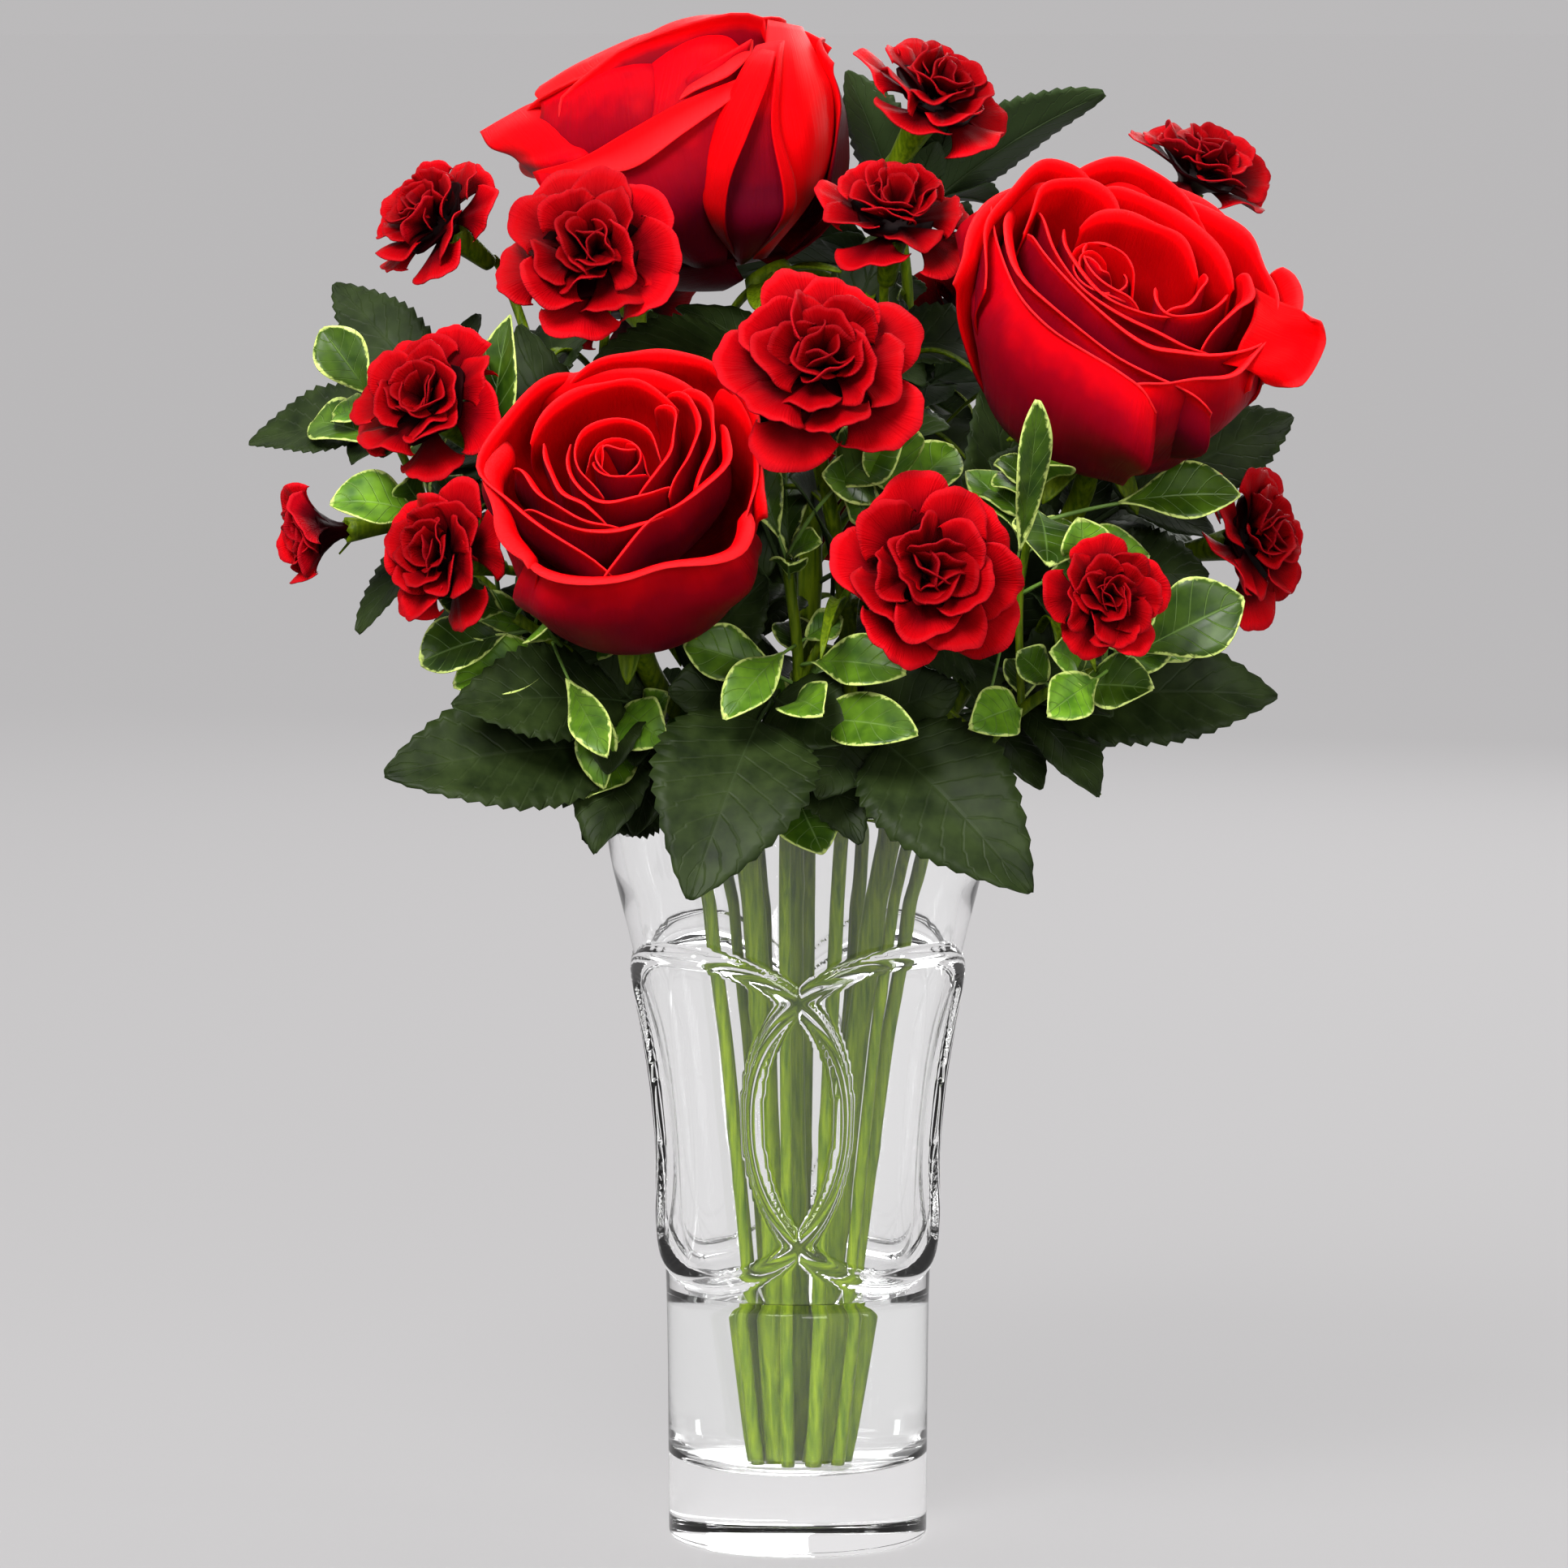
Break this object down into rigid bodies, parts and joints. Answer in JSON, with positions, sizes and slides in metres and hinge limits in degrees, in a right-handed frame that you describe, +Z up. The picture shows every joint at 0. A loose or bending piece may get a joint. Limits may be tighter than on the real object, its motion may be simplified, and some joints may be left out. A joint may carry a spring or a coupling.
{
  "type": "roses in a vase",
  "caption": "Red roses, small carnations, dark toothed leaves and cream-edged foliage, standing in water in a tall flared clear glass vase with a raised band of crossing loops.",
  "frame": {"origin": "centre of the vase's underside, on the surface it stands on", "axes": "+Z up along the vase's axis, -Y towards the front that the picture shows, +X to the right"},
  "size_m": [0.2889, 0.227, 0.4103],
  "materials": {
    "rose_petal": "soft, velvety red petal",
    "carnation_petal": "matte, darker red petal",
    "stem": "smooth fresh green stem",
    "dark_leaf": "dark green leaf, slight sheen",
    "edged_leaf": "glossy green leaf, cream margin",
    "glass": "clear, polished, pressed glass",
    "water": "clear still water"
  },
  "bodies": {
    "root": {"rose_top_bloom": "rose_petal", "rose_top_stem": "stem", "rose_right_bloom": "rose_petal", "rose_right_stem": "stem", "rose_left_bloom": "rose_petal", "rose_left_stem": "stem", "carnation_01": "carnation_petal", "carnation_02": "carnation_petal", "carnation_03": "carnation_petal", "carnation_04": "carnation_petal", "carnation_05": "carnation_petal", "carnation_06": "carnation_petal", "carnation_07": "carnation_petal", "carnation_08": "carnation_petal", "carnation_09": "carnation_petal", "carnation_10": "carnation_petal", "carnation_11": "carnation_petal", "carnation_12": "carnation_petal", "carnation_13": "carnation_petal", "carnation_14": "carnation_petal", "carnation_15": "carnation_petal", "spray_left_stem": "stem", "spray_front_stem": "stem", "spray_right_stem": "stem", "spray_top_stem": "stem", "spray_back_stem": "stem", "foliage_left": "dark_leaf", "foliage_back": "dark_leaf", "sprig_left": "edged_leaf", "sprig_front": "edged_leaf", "sprig_right": "edged_leaf", "sprig_back": "edged_leaf", "vase": "glass", "water": "water"}
  },
  "joints": []
}
